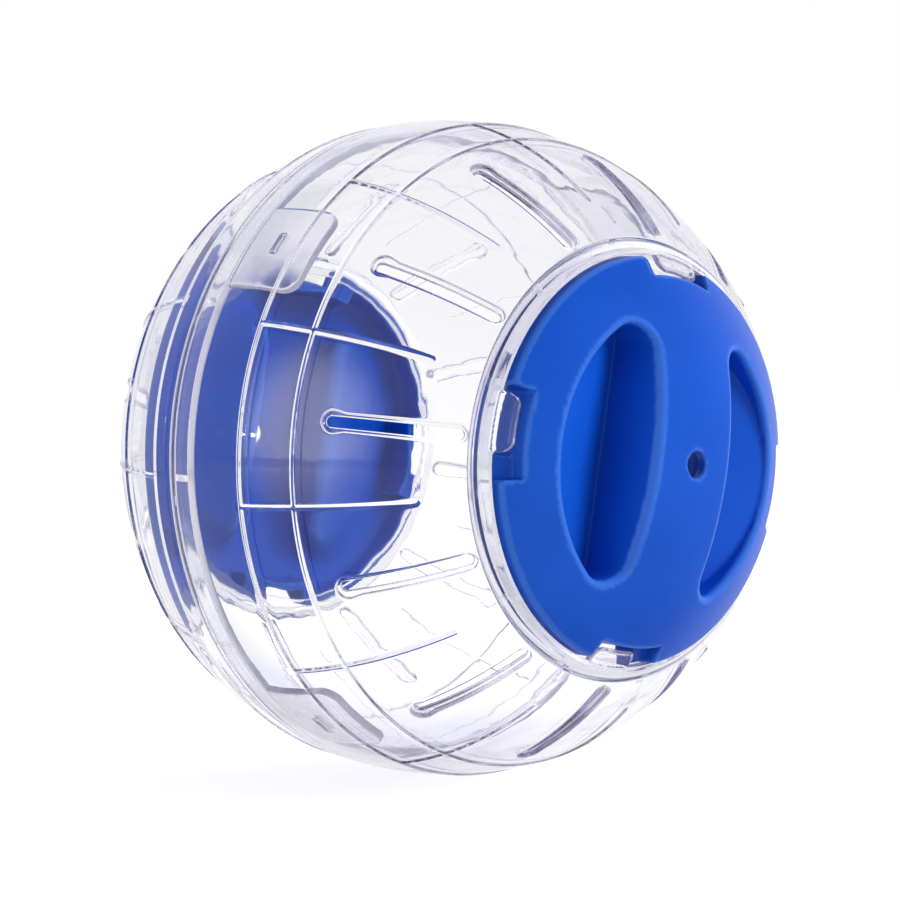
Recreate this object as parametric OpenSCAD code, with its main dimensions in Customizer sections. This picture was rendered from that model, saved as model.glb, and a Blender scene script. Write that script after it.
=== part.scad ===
// Hamster exercise ball.
// Two clear half shells plug together beside the equator, and each has a round mouth at its pole
// that a twist-lock lid with two finger pockets closes.
// The lid axis lies along X: the front half and front lid are on +X, the rear ones on -X.
// The origin is the centre of the ball.
// Inside the modules every piece is drawn with its own pole along +Z and the ball's middle at z = 0.

/* [Ball] */
// Outside diameter of the clear ball
ball_d = 120; // [112:1:140]
// Thickness of the clear wall
wall = 1.8; // [1.5:0.1:2.4]
// Open line between the two half shells
seam_gap = 0.1; // [0.05:0.05:0.3]
// How far the open line lies behind the middle of the ball
seam_back = 3.5; // [0:0.1:5]
// Turn of the front half about the lid axis, in degrees
front_turn = -8.6; // [-45:0.1:45]
// Turn of the rear half about the lid axis, in degrees
rear_turn = 12.4; // [-45:0.1:45]

/* [Mouth] */
// Diameter of the round mouth that the lid drops into
mouth_d = 69.6; // [66:0.2:74]
// Width of the flat ring around the mouth
rim_w = 0.8; // [0.4:0.1:1.5]
// Wall of the collar that hangs inside the mouth
collar_t = 1.8; // [1.4:0.1:2.4]
// Depth from the flat ring down to the seat that carries the lid
seat_depth = 3.9; // [3.6:0.1:5]
// Thickness of the seat ring
seat_t = 1.2; // [0.8:0.1:2]
// How far the seat ring reaches inwards from the collar
seat_w = 1.9; // [1.2:0.1:2.4]

/* [Lugs] */
// Number of lugs around the mouth
lug_count = 4; // [2:1:5]
// Width of a lug along the mouth's edge
lug_w = 10; // [7:0.1:12]
// How far a lug reaches inwards over the lid
lug_reach = 3.2; // [2.2:0.1:3.6]
// Thickness of a lug
lug_t = 1.5; // [1:0.1:1.8]
// Turn of the lugs from the slot pattern, in degrees
lug_turn = -4.8; // [-15:0.1:15]

/* [Air slots] */
// Number of air slots in each half
slot_count = 12; // [8:1:16]
// Length of a slot along the wall
slot_len = 23.6; // [16:0.1:26]
// Width of a slot where it passes through the wall
slot_w = 1.8; // [1.2:0.1:2.6]
// Widening of a slot's outer edge, on each side
slot_bevel = 0.6; // [0.3:0.1:1]
// Depth of that wider outer edge below the outside of the wall
slot_step = 0.8; // [0.4:0.1:1.2]
// Width of the round recess at the end of a slot nearer the equator
spoon_w = 3.9; // [3.5:0.1:5]
// Distance along the wall from the flat ring to the slots
slot_from_rim = 3.8; // [2.5:0.1:5]

/* [Grip ridges] */
// Height of the ridges on the outside of the wall
ridge_h = 0.4; // [0.2:0.1:0.8]
// Width of the ridges
ridge_w = 0.8; // [0.5:0.1:1.2]
// Height of the upper ridge circle above the middle of the ball
ridge_high = 23.4; // [20:0.1:26]
// Height of the lower ridge circle of the front half above the middle of the ball
ridge_low_front = 13.5; // [11:0.1:17]
// Height of the lower ridge circle of the rear half above the middle of the ball
ridge_low_rear = 8.9; // [6:0.1:17]
// Height above the middle of the ball at which the long ribs end near the mouth
rib_top = 40.9; // [34:0.1:42]

/* [Seam] */
// Length of the spigot that the rear half pushes into the front half, from the open line
spigot_len = 3.6; // [2:0.1:5]
// Thickness of the spigot
spigot_t = 1.3; // [1.2:0.1:2]
// Number of snap tongues around the seam
tongue_count = 4; // [2:1:6]
// Width of a tongue
tongue_w = 16.6; // [10:0.1:20]
// Length of a tongue from the middle of the ball
tongue_len = 15.5; // [14:0.1:20]
// Thickness of a tongue
tongue_t = 1.1; // [0.8:0.1:1.1]
// Radius of the tongue's free corners
tongue_corner = 3; // [1:0.1:4.5]
// Turn of the first tongue about the lid axis, from straight up, in degrees
tongue_turn = 38.6; // [0:0.1:90]
// Length of the snap nib on a tongue
nib_len = 4; // [2:0.1:8]
// Height of the snap nib above its tongue
nib_h = 0.2; // [0.1:0.05:0.25]
// Distance of the snap nib from the middle of the ball
nib_from_middle = 7.8; // [5:0.1:10]

/* [Lid] */
// How far the lid's dome stands proud of the ball
lid_proud = 0.7; // [0.2:0.1:1.2]
// Thickness of the lid's dome and pocket walls
lid_wall = 1.8; // [1.4:0.1:2.2]
// Thickness of the lid's skirt
skirt_t = 1.6; // [1.2:0.1:1.8]
// Width of the grip bar between the two finger pockets
bar_w = 18.4; // [14:0.2:22]
// Diameter of the circle that the finger pockets reach out to
pocket_d = 51.6; // [46:0.2:52]
// Depth of the pockets beside the bar, from the top of the dome
pocket_depth = 13.2; // [9:0.1:14]
// Height of the pocket wall at the outer edge
pocket_lip = 1; // [0.4:0.1:2]
// Radius of the pockets' corners
pocket_corner = 4; // [2:0.1:5]
// Diameter of the hole in the middle of the lid, for a stand's pin
pin_hole_d = 4.4; // [3:0.1:6]
// Width of the ledge that turns in under a lug
ledge_w = 4.1; // [2.5:0.1:5]

/* [Fits] */
// Gap between the lid's skirt and the mouth
lid_gap = 0.3; // [0.2:0.05:0.5]
// Gap between the lid's skirt and its seat
seat_gap = 0.2; // [0.1:0.05:0.4]
// Gap between a lug and the ledge below it
lug_gap = 0.35; // [0.2:0.05:0.5]
// Free space at the clockwise side of a lug in its notch
notch_slack = 1.25; // [0.6:0.05:2]
// Free space at the other side of a lug, before the ledge
notch_gap = 0.4; // [0.2:0.05:0.8]
// Gap between the spigot or the tongues and the front half
plug_gap = 0.35; // [0.3:0.05:0.6]

/* [Hidden] */
$fn = 180;
// A length that reaches past the whole ball
far = 400;
// A small overlap that keeps joined shapes in one piece
sink = 0.05;
// Height of a cut that goes right through the wall
through = 4 * wall;

// Angle in degrees of an arc of the given length and radius
function arc(length, radius) = length / radius * 180 / PI;
// Height of a sphere of radius r over a point at distance rho from its axis
function height_at(r, rho) = sqrt(r * r - rho * rho);

ball_r = ball_d / 2;
inner_r = ball_r - wall;
mouth_r = mouth_d / 2;
rim_r = mouth_r + rim_w;
rim_z = height_at(ball_r, rim_r);
collar_r = mouth_r + collar_t;
collar_top = height_at(ball_r - sink, collar_r);
seat_z = rim_z - seat_depth;
seat_r = mouth_r - seat_w;

// A lug starts in the middle of the flat ring and rises inwards along the ball's slope there
lug_slope = mouth_r / height_at(ball_r, mouth_r);
lug_root_r = mouth_r + rim_w / 2;
lug_in_r = mouth_r - lug_reach;
lug_angle = arc(lug_w, mouth_r);
function lug_top(rho) = rim_z - sink + (lug_root_r - rho) * lug_slope;
function lug_under(rho) = lug_top(rho) - lug_t;

// Slots follow the wall as a straight prism along the radius at their middle
slot_top_angle = asin(rim_r / ball_r) + arc(slot_from_rim, ball_r);
slot_angle = arc(slot_len, ball_r);
slot_mid_angle = slot_top_angle + slot_angle / 2;
slot_chord = 2 * ball_r * sin(slot_angle / 2);
slot_floor_r = ball_r - slot_step;

spigot_r = inner_r - plug_gap;
spigot_in_r = spigot_r - spigot_t;
// The spigot's bore runs straight back to where it meets the round inside of the rear half
spigot_foot = height_at(inner_r, spigot_in_r + sink);
tongue_r = spigot_r - sink;
nib_r = tongue_t / 2;
catch_depth = wall / 2;

// The lid, with its bar along X and its pockets on either side in Y
dome_r = ball_r + lid_proud;
dome_in_r = dome_r - lid_wall;
lid_r = mouth_r - lid_gap;
lid_foot = seat_z + seat_gap;
skirt_in_r = lid_r - skirt_t;
niche_r = lug_in_r - lid_gap;
niche_in_r = niche_r - skirt_t;
pocket_r = pocket_d / 2;
bar_half = bar_w / 2;
crease_z = dome_r - pocket_depth;
floor_angle = atan((height_at(dome_r, pocket_r) - pocket_lip - crease_z) / (pocket_r - bar_half));

// Angles of the lid's notches, from the middle of a lug when the lid is dropped in
notch_start = -lug_angle / 2 - arc(notch_slack, mouth_r);
ledge_start = lug_angle / 2 + arc(notch_gap, mouth_r);
notch_end = ledge_start + arc(ledge_w, mouth_r);
lid_turn = lug_turn + (notch_start + notch_end) / 2;
notch_half = (notch_end - notch_start) / 2;
notch_side = arc(skirt_t, niche_r);

clear_plastic = [0.86, 0.87, 0.95, 0.35];
blue_plastic = [0.10, 0.32, 0.78];

// Puts a piece drawn with its pole along +Z on the front (+1) or the rear (-1) of the ball
module at_pole(side) {
    rotate([0, 90 * side, 0]) rotate([0, 0, side > 0 ? 180 : 0]) children();
}

// Copies a piece around the pole axis
module around(count, turn = 0) {
    for (i = [0:count - 1]) rotate([0, 0, turn + i * 360 / count]) children();
}

// A ring section swept from one angle to another about the pole axis
module sweep(from, to) {
    rotate([0, 0, from]) rotate_extrude(angle = to - from) children();
}

// A slot's outline, round at both ends, with its length along X
module stadium(length, width) {
    square([length - width, width], center = true);
    for (end = [-1, 1]) translate([end * (length - width) / 2, 0]) circle(d = width);
}

module slot_cut() {
    rotate([0, slot_mid_angle, 0]) translate([0, 0, ball_r]) {
        linear_extrude(height = through, center = true) stadium(slot_chord - 2 * slot_bevel, slot_w);
    }
    difference() {
        rotate([0, slot_mid_angle, 0]) translate([0, 0, ball_r])
            linear_extrude(height = through, center = true) {
                stadium(slot_chord, slot_w + 2 * slot_bevel);
                translate([(slot_chord - spoon_w) / 2, 0]) circle(d = spoon_w);
            }
        sphere(r = slot_floor_r);
    }
}

// Ridge circles and long ribs that stand on the outside of a half
module ridges(low) {
    intersection() {
        sphere(r = ball_r + ridge_h);
        union() {
            for (z = [low, ridge_high])
                translate([0, 0, z - ridge_w / 2]) cylinder(r = far, h = ridge_w);
            around(slot_count, 180 / slot_count)
                translate([mouth_r, -ridge_w / 2, low]) cube([far, ridge_w, rib_top - low]);
        }
    }
}

// Collar and seat that hang inside the mouth
module collar() {
    difference() {
        translate([0, 0, seat_z - seat_t]) cylinder(r = collar_r, h = collar_top - seat_z + seat_t);
        translate([0, 0, seat_z]) cylinder(r = mouth_r, h = far);
        translate([0, 0, seat_z - far / 2]) cylinder(r = seat_r, h = far);
    }
}

// Lugs that reach in from the mouth's edge and hold the locked lid down
module lugs() {
    around(lug_count, lug_turn)
        sweep(-lug_angle / 2, lug_angle / 2)
            polygon([
                [lug_root_r, lug_under(lug_root_r)],
                [lug_root_r, lug_top(lug_root_r)],
                [lug_in_r, lug_top(lug_in_r)],
                [lug_in_r, lug_under(lug_in_r)]
            ]);
}

// What both half shells share: wall down to the given edge, ridges, slots, mouth, collar and lugs
module half_shell(low, edge) {
    difference() {
        union() {
            sphere(r = ball_r);
            ridges(low);
        }
        sphere(r = inner_r);
        translate([0, 0, edge - far]) cylinder(r = far, h = far);
        cylinder(r = mouth_r, h = far);
        translate([0, 0, rim_z]) cylinder(r = rim_r, h = far);
        around(slot_count) slot_cut();
    }
    collar();
    lugs();
}

// Blind recess inside the front wall that a tongue's nib clicks into
module catch_cut() {
    low_side = nib_from_middle - nib_r - plug_gap;
    translate([height_at(inner_r, nib_from_middle) - wall, -nib_len / 2 - plug_gap, low_side])
        cube([wall + catch_depth, nib_len + 2 * plug_gap, 2 * (nib_r + plug_gap)]);
}

// Snap tongue that follows the inside of the front wall, drawn downwards from inside the spigot
module tongue() {
    root = spigot_len / 2 - seam_back;
    intersection() {
        difference() {
            sphere(r = tongue_r);
            sphere(r = tongue_r - tongue_t);
        }
        rotate([0, 90, 0]) linear_extrude(height = far) {
            translate([root, -tongue_w / 2]) square([tongue_len - tongue_corner - root, tongue_w]);
            translate([root, tongue_corner - tongue_w / 2])
                square([tongue_len - root, tongue_w - 2 * tongue_corner]);
            for (end = [-1, 1])
                translate([tongue_len - tongue_corner, end * (tongue_w / 2 - tongue_corner)])
                    circle(r = tongue_corner);
        }
    }
    translate([height_at(tongue_r, nib_from_middle) + nib_h - nib_r, nib_len / 2, -nib_from_middle])
        rotate([90, 0, 0]) cylinder(r = nib_r, h = nib_len);
}

// Spigot ring of the rear half, with its straight bore and the root that thickens the rear wall
module spigot() {
    difference() {
        union() {
            translate([0, 0, seam_back - spigot_len]) cylinder(r = spigot_r, h = 2 * spigot_len);
            intersection() {
                sphere(r = inner_r + wall / 2);
                translate([0, 0, seam_back + seam_gap / 2])
                    cylinder(r = ball_r, h = spigot_foot - seam_back - seam_gap / 2);
            }
        }
        cylinder(r = spigot_in_r, h = far, center = true);
    }
}

// Outline of one finger pocket on the +Y side of the bar, grown outwards by a wall.
// Twice as far out as its corners lies past the outer circle.
module pocket_outline(grow) {
    corner_y = bar_half + pocket_corner;
    corner_x = height_at(pocket_r - pocket_corner, corner_y);
    intersection() {
        circle(r = pocket_r + grow);
        polygon([
            [-corner_x, bar_half - grow],
            [corner_x, bar_half - grow],
            [corner_x, corner_y],
            2 * [corner_x, corner_y],
            2 * [-corner_x, corner_y],
            [-corner_x, corner_y]
        ]);
    }
    for (end = [-1, 1]) translate([end * corner_x, corner_y]) circle(r = pocket_corner + grow);
}

// A finger pocket: straight down beside the bar, with a floor that rises outwards
module pocket(grow) {
    intersection() {
        linear_extrude(height = far) pocket_outline(grow);
        translate([-far / 2, bar_half, crease_z - grow / cos(floor_angle)])
            rotate([floor_angle, 0, 0]) translate([0, -far / 2, 0]) cube(far);
    }
}

module pockets(grow) {
    for (side = [0, 180]) rotate([0, 0, side]) pocket(grow);
}

// Notches in the lid's edge: open all the way down where a lug passes, with a ledge beside it
module notches() {
    around(lug_count) {
        sweep(-notch_half, notch_half)
            polygon([
                [niche_r, lug_under(niche_r) - lug_gap],
                [mouth_r + rim_w, lug_under(mouth_r + rim_w) - lug_gap],
                [mouth_r + rim_w, far],
                [niche_r, far]
            ]);
        sweep(-notch_half, ledge_start - notch_end + notch_half)
            translate([niche_r, 0]) square(far);
    }
}

// Walls inside the lid that close its notches off
module notch_walls() {
    around(lug_count)
        sweep(-notch_half - notch_side, notch_half + notch_side)
            translate([niche_in_r, 0]) square(far);
}

module lid() {
    difference() {
        intersection() {
            sphere(r = dome_r);
            translate([0, 0, lid_foot]) cylinder(r = lid_r, h = far);
        }
        difference() {
            intersection() {
                sphere(r = dome_in_r);
                cylinder(r = skirt_in_r, h = far);
            }
            pockets(lid_wall);
            notch_walls();
        }
        pockets(0);
        notches();
        cylinder(d = pin_hole_d, h = far);
    }
}

module front_shell() {
    color(clear_plastic) at_pole(1) difference() {
        rotate([0, 0, front_turn]) half_shell(ridge_low_front, seam_gap / 2 - seam_back);
        around(tongue_count, -tongue_turn) catch_cut();
    }
}

module rear_shell() {
    color(clear_plastic) at_pole(-1) {
        rotate([0, 0, rear_turn]) half_shell(ridge_low_rear, seam_gap / 2 + seam_back);
        spigot();
        around(tongue_count, tongue_turn) tongue();
    }
}

module front_lid() {
    color(blue_plastic) at_pole(1) rotate([0, 0, front_turn + lid_turn]) lid();
}

module rear_lid() {
    color(blue_plastic) at_pole(-1) rotate([0, 0, rear_turn + lid_turn]) lid();
}

front_shell();
rear_shell();
front_lid();
rear_lid();
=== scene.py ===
import math

import bmesh
import bpy
import numpy as np
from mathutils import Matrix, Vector

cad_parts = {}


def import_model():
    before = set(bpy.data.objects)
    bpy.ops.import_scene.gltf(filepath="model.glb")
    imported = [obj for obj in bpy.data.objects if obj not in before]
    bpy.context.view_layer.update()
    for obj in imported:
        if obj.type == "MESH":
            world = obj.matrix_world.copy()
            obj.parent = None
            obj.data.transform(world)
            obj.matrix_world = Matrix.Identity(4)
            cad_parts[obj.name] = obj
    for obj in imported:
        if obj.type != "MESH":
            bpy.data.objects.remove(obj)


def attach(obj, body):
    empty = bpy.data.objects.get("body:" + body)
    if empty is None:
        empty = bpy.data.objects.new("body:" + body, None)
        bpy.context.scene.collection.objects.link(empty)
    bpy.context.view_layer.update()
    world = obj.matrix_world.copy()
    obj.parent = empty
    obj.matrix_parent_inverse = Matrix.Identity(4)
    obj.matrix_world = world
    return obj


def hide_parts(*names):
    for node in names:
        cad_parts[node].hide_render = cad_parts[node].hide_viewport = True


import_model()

# Lengths are millimetres while shapes are worked out, and this many metres in the scene
MM = 0.001

# Faces that meet at more than this are shaded with a crease
CREASE = math.radians(50)

# Ball
BALL_R = 60.0
WALL = 1.8
INNER_R = BALL_R - WALL
SEAM_HALF_GAP = 0.05
FRONT_TURN = math.radians(-8.6)
REAR_TURN = math.radians(12.4)

# Mouth, collar and seat, and the roundings of their corners, from the collar's foot to the rim
MOUTH_R = 34.8
RIM_R = MOUTH_R + 0.8
RIM_Z = math.sqrt(BALL_R**2 - RIM_R**2)
COLLAR_FOOT_R = MOUTH_R + 2.2
COLLAR_LOW_R = MOUTH_R + 1.1
SEAT_R = MOUTH_R - 1.9
SEAT_TOP = RIM_Z - 3.9
SEAT_BOTTOM = SEAT_TOP - 1.2
COLLAR_LOW_Z = SEAT_BOTTOM + 0.3
MOUTH_ROUNDINGS = (0.18, 0.7, 0.5, 0.4, 0.4, 0.25, 0.12)

# Lugs over the lid
LUG_COUNT = 4
LUG_W = 10.0
LUG_REACH = 3.2
LUG_T = 1.5
LUG_TURN = math.radians(-4.8)
LUG_ROOT_R = MOUTH_R + 0.4
LUG_SLOPE = MOUTH_R / math.sqrt(BALL_R**2 - MOUTH_R**2)
LUG_TOP_Z = RIM_Z - 0.05
LUG_EMBED = 0.3
LUG_CORNER = 1.8
LUG_EDGE = 0.6
LUG_SHORT = 0.4
LUG_CUTS_ACROSS = np.arange(-4.5, 5, 1.0)
LUG_CUTS_ALONG = (1.2, 2.2)

# Air slots, wide down to a step and narrow under it, with fillets in both corners of the narrow part
SLOT_COUNT = 12
SECTOR = 2 * math.pi / SLOT_COUNT
SLOT_LEN = 23.6
SLOT_W = 1.8
SLOT_BEVEL = 0.6
SLOT_STEP = 0.8
SPOON_R = 1.95
SPOON_BLEND = 0.02
SLOT_FROM_RIM = 3.8
SLOT_TOP = math.asin(RIM_R / BALL_R) + SLOT_FROM_RIM / BALL_R
SLOT_MIDDLE = SLOT_TOP + SLOT_LEN / BALL_R / 2
SLOT_CHORD = 2 * BALL_R * math.sin(SLOT_LEN / BALL_R / 2)
SLOT_EDGE = 0.3
SLOT_FILLET = 0.25
FILLET_SAG = 0.07

# The slot's section as pairs: how far in from the wide outline, or out from the narrow one, and how deep
WIDE_SECTION = ((0.04, SLOT_STEP - 0.18), (0.1, SLOT_STEP - 0.05), (0.22, SLOT_STEP))
NARROW_SECTION = (
    (SLOT_FILLET, SLOT_STEP), (FILLET_SAG, SLOT_STEP + FILLET_SAG), (0, SLOT_STEP + SLOT_FILLET),
    (0, WALL - SLOT_FILLET), (FILLET_SAG, WALL - FILLET_SAG), (SLOT_FILLET, WALL),
)
WINDOW_SHARES = (0.1, 0.3, 0.6)

# Grip ridges, softly rounded from foot to foot
RIDGE_H = 0.3
RIDGE_HALF = 0.62
RIDGE_HIGH = math.acos(23.4 / BALL_R)
RIDGE_LOW_FRONT = math.acos(13.5 / BALL_R)
RIDGE_LOW_REAR = math.acos(8.9 / BALL_R)
RIB_TOP = math.acos(40.9 / BALL_R)

# The shells' grid, in millimetres: spacings between rows, and offsets of the close rows at ridges
RIM_SPACING = 0.7
RIB_SPACING = 0.7
WINDOW_SPACING = 1.0
OUTER_SPACING = 1.3
INNER_SPACING = 1.8
RIM_CLEAR = 0.35
SEAM_CLEAR = 0.55
RIDGE_CLEAR = 0.9
RIDGE_ROWS = (-RIDGE_HALF, -0.5, -0.41, -0.31, -0.21, -0.12, 0, 0.12, 0.21, 0.31, 0.41, 0.5)
RIB_ROWS = (-0.2, 0.02, 0.16, 0.3, 0.5)
INNER_START = 0.5
FOLLOW_FOOT = 0.3
LAST_FOOT = 0.2

# The windows in the grid that hold the slots, and the columns of one half sector
WINDOW_TOP = SLOT_TOP - 1.9 / BALL_R
WINDOW_END = RIDGE_HIGH - 1.3 / BALL_R
WINDOW_HALF = 4.0
WINDOW_COLUMNS = (1.0, 2.0, 3.0, WINDOW_HALF)
PLAIN_STEPS = 7
RIB_ZONE = 0.9
RIB_COLUMNS = (RIB_ZONE, RIDGE_HALF, 0.5, 0.4, 0.3, 0.2, 0.1)

# Edges of the two halves at the seam, each as a height on its own side of the ball's middle
SEAM_BACK = 3.5
FRONT_EDGE = SEAM_HALF_GAP - SEAM_BACK
REAR_EDGE = SEAM_HALF_GAP + SEAM_BACK
SEAM_LEAD = 0.5
FRONT_INNER_LEAD = 0.6
FRONT_ROUNDINGS = (0.3, 0.15)
REAR_ROUNDINGS = (0.3, 0.12, 0.45, 0.45, 2.0)

# Spigot and snap tongues of the rear half, and the front half's recesses for their nibs
SPIGOT_LEN = 3.6
SPIGOT_TIP = SEAM_BACK - SPIGOT_LEN
SPIGOT_R = INNER_R - 0.35
SPIGOT_IN_R = SPIGOT_R - 1.3
SPIGOT_FOOT = math.sqrt(INNER_R**2 - SPIGOT_IN_R**2)
SPIGOT_LEAD = 1
TONGUE_COUNT = 4
TONGUE_W = 16.6
TONGUE_LEN = 15.5
TONGUE_T = 1.1
TONGUE_R = SPIGOT_R - 0.05
TONGUE_CORNER = 3.0
TONGUE_EDGE = 0.3
TONGUE_TURN = math.radians(38.6)
NIB_LEN = 4.0
NIB_H = 0.2
NIB_FROM_MIDDLE = 7.8
NIB_HALF_W = 0.6
NIB_SIDE = TONGUE_T * 0.9
NIB_CUTS = (-0.6, -0.4, -0.2, 0, 0.2, 0.4, 0.6)
TONGUE_CUTS_ACROSS = sorted([*np.arange(-7.2, 7.3, 1.2), -2.1, -1.9, 1.9, 2.1])
TONGUE_CUT_START = 1.5
TONGUE_CUT_STEP = 1.2
CATCH_SPARE = 0.2
CATCH_DEPTH = 0.3
CATCH_CORNER = 0.3
CATCH_EDGE = 0.2
CATCH_CUTS = (-1.5, 0, 1.5)

# Plates: segments of their rounded corners and edges, how level a face's normal counts as, and tolerances
CORNER_SEGMENTS = 6
EDGE_SEGMENTS = 3
LEVEL = 0.9
ROOT_TOUCH = 1e-6
CUT_TOUCH = 1e-5

# Lid
DOME_R = 60.7
LID_WALL = 1.8
DOME_IN_R = DOME_R - LID_WALL
LID_R = MOUTH_R - 0.3
LID_FOOT = SEAT_TOP + 0.2
SKIRT_T = 1.6
SKIRT_IN_R = LID_R - SKIRT_T
BAR_HALF = 9.2
POCKET_R = 25.8
POCKET_CORNER = 4.0
POCKET_LIP = 1.0
CREASE_Z = DOME_R - 13.2
POCKET_DRAFT = math.tan(math.radians(3))
PIN_R = 2.2
NICHE_R = MOUTH_R - LUG_REACH - 0.3
NICHE_IN_R = NICHE_R - SKIRT_T
LUG_GAP = 0.35
NOTCH_SPARE = 1.25
LEDGE_GAP = 0.4
LEDGE_LEN = 4.1

# Roundings of the lid's edges and inner corners
DOME_ROUND = 0.45
FOOT_ROUND = 0.3
HOLLOW_ROUND = 0.8
HOLLOW_EDGE = 0.25
NICHE_WALL_ROUND = 0.5
POCKET_BACK_ROUND = 3.5
POCKET_BACK_BLEND = 6.5
POCKET_FLOOR_ROUND = 0.4
POCKET_EDGE = 1.3
NOTCH_ROUND = 0.3
LEDGE_ROUND = 0.25
PIN_ROUND = 0.35

# The lid's surface: its grid's cell, the cells past the lid, and the steps that bring points onto it
LID_CELL = 0.55
SIDE_CELLS, FOOT_CELLS, TOP_CELLS = 1.1, 1.6, 1.3
REFINEMENTS = 4
LEAST_SLOPE = 0.2

# Painted highlight, lighter blue on the lids' convex edges where the lips would catch light: the bend where
# it begins, the bend over which it grows, and its most
PAINTED_HIGHLIGHT_FROM = 0.25
PAINTED_HIGHLIGHT_SPAN = 0.5
PAINTED_HIGHLIGHT_MOST = 0.55


def arc(length, radius):
    """Angle of an arc of that length."""
    return length / radius


# The lid's notches, as angles from the lug's middle
LUG_ANGLE = arc(LUG_W, MOUTH_R)
NOTCH_START = -LUG_ANGLE / 2 - arc(NOTCH_SPARE, MOUTH_R)
LEDGE_START = LUG_ANGLE / 2 + arc(LEDGE_GAP, MOUTH_R)
NOTCH_END = LEDGE_START + arc(LEDGE_LEN, MOUTH_R)
LID_TURN = LUG_TURN + (NOTCH_START + NOTCH_END) / 2
NOTCH_HALF = (NOTCH_END - NOTCH_START) / 2
NOTCH_SIDE = arc(SKIRT_T, NICHE_R)

# Camera, set as the ball is seen in the photograph
CAMERA_AT = Vector((0.28747, -0.26369, 0.02547))
CAMERA_LENS = 84.3
CAMERA_SENSOR = 36
CAMERA_SHIFT = (0.0022, -0.0029)

# Studio: levels and colours of light, what reflections show by direction, and the floor in metres
SKY_LEVEL = 0.4
STUDIO_PALE = (0.84, 0.84, 0.93)
BACKDROP_AT = (227.5, 0)
BACKDROP = ((0.2, (0.2, 0.2, 0.26)), (0.85, (1, 1, 1)))
SOFTBOX_AT = (-2, 8)
SOFTBOX_GLOW = ((0.86, (0, 0, 0)), (1.0, (2.3, 2.3, 2.3)))
FLOOR_TINT = (0.9, 0.9, 0.92, 1)
FLOOR_LIFT = 0.66
FLOOR_MIRRORED_LOSS = 0.2
FLOOR_HALF = 3.0
FLOOR_GAP = 0.0002
WHITE = (1, 1, 1, 1)

# Lamps: name, place as view azimuth and elevation, size in metres, power, and seen in reflections or not
LAMP_DISTANCE = 0.9
LAMPS = (
    ("key", (121, 26), 0.5, 6.2, False),
    ("softbox", SOFTBOX_AT, 0.6, 2.0, False),
    ("glint_0", (-23.3, 6.5), 0.027, 0.045, True),
    ("glint_1", (-18.9, 4.7), 0.027, 0.045, True),
)

# Clear plastic: colours by angle, in the tongues' milky flow, in depth and in shadow, and roughness
CLEAR_IOR = 1.49
CLEAR_TINT = ((0.0, (1.0, 1.0, 1.0)), (0.8, (0.98, 0.98, 0.99)), (1.0, (0.9, 0.895, 0.95)))
MILK_TINT = ((0.35, (0.9, 0.89, 0.95)), (0.65, (1.0, 0.995, 1.0)))
DEPTH_TINT = (0.62, 0.58, 0.8, 1)
SHADOW_TINT = (0.93, 0.93, 0.97, 1)
TONGUE_FROST = 0.1
LINE_FROST = 0.4
SEAT_FROST = 0.12

# Where the masks on the clear plastic lie
SPIGOT_MASK_R = INNER_R - 0.2
TONGUE_MASK_END = TONGUE_LEN + 1
SKIN_MASK_R = BALL_R - 0.35
SEAT_MASK_R = INNER_R - 0.6
SEAT_MASK_LOW = SEAT_BOTTOM - 0.2
SEAT_MASK_HIGH = SEAT_BOTTOM + 0.7
SEAM_LINE_HALF = 0.4
TIP_LINE_HALF = 0.2

# Blue plastic
BLUE_TINT = ((0.3, (0.003, 0.076, 0.52)), (0.7, (0.006, 0.096, 0.62)))
# Lighter blue of the painted highlight on the lids' convex edges
BLUE_PAINTED_HIGHLIGHT = (0.06, 0.22, 0.78, 1)

# Sockets of a colour mix node
MIX_FACTOR, MIX_A, MIX_B, MIX_RESULT = 0, 6, 7, 2


# Placing and making meshes


def to_row(side, points):
    """Points in millimetres with the pole along +Z, as metres in the CAD frame on the side 1 or -1 of X."""
    x, y, z = np.asarray(points, float).reshape(-1, 3).T
    return np.column_stack([side * z, -side * y, x]) * MM


def turned(points, angle):
    """Points turned about the pole axis."""
    c, s = math.cos(angle), math.sin(angle)
    return np.asarray(points, float) @ np.array([[c, s, 0], [-s, c, 0], [0, 0, 1]])


def mesh_object(name, points, faces):
    """A smooth-shaded object of those points, in metres, and faces."""
    mesh = bpy.data.meshes.new(name)
    mesh.from_pydata(points.tolist(), [], faces)
    mesh.update()
    mesh.shade_smooth()
    piece = bpy.data.objects.new(name, mesh)
    bpy.context.scene.collection.objects.link(piece)
    return piece


def apply_modifiers(piece):
    """Puts what piece's modifiers make of its mesh in the mesh's place."""
    depsgraph = bpy.context.evaluated_depsgraph_get()
    made = bpy.data.meshes.new_from_object(piece.evaluated_get(depsgraph))
    piece.modifiers.clear()
    piece.data = made


def combine(piece, tools, operation):
    """Joins the closed meshes tools to piece, or cuts them out of it, and removes them."""
    for tool in tools:
        change = piece.modifiers.new(operation.lower(), "BOOLEAN")
        change.object = tool
        change.operation = operation
        change.solver = "MANIFOLD"
        apply_modifiers(piece)
        bpy.data.objects.remove(tool)


def shade(piece):
    """Shades piece smoothly over its fillets, flat on its larger faces and creased where parts meet."""
    piece.data.shade_smooth()
    piece.data.set_sharp_from_angle(angle=CREASE)
    change = piece.modifiers.new("normals", "WEIGHTED_NORMAL")
    change.keep_sharp = True
    apply_modifiers(piece)


# Half shells


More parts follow.
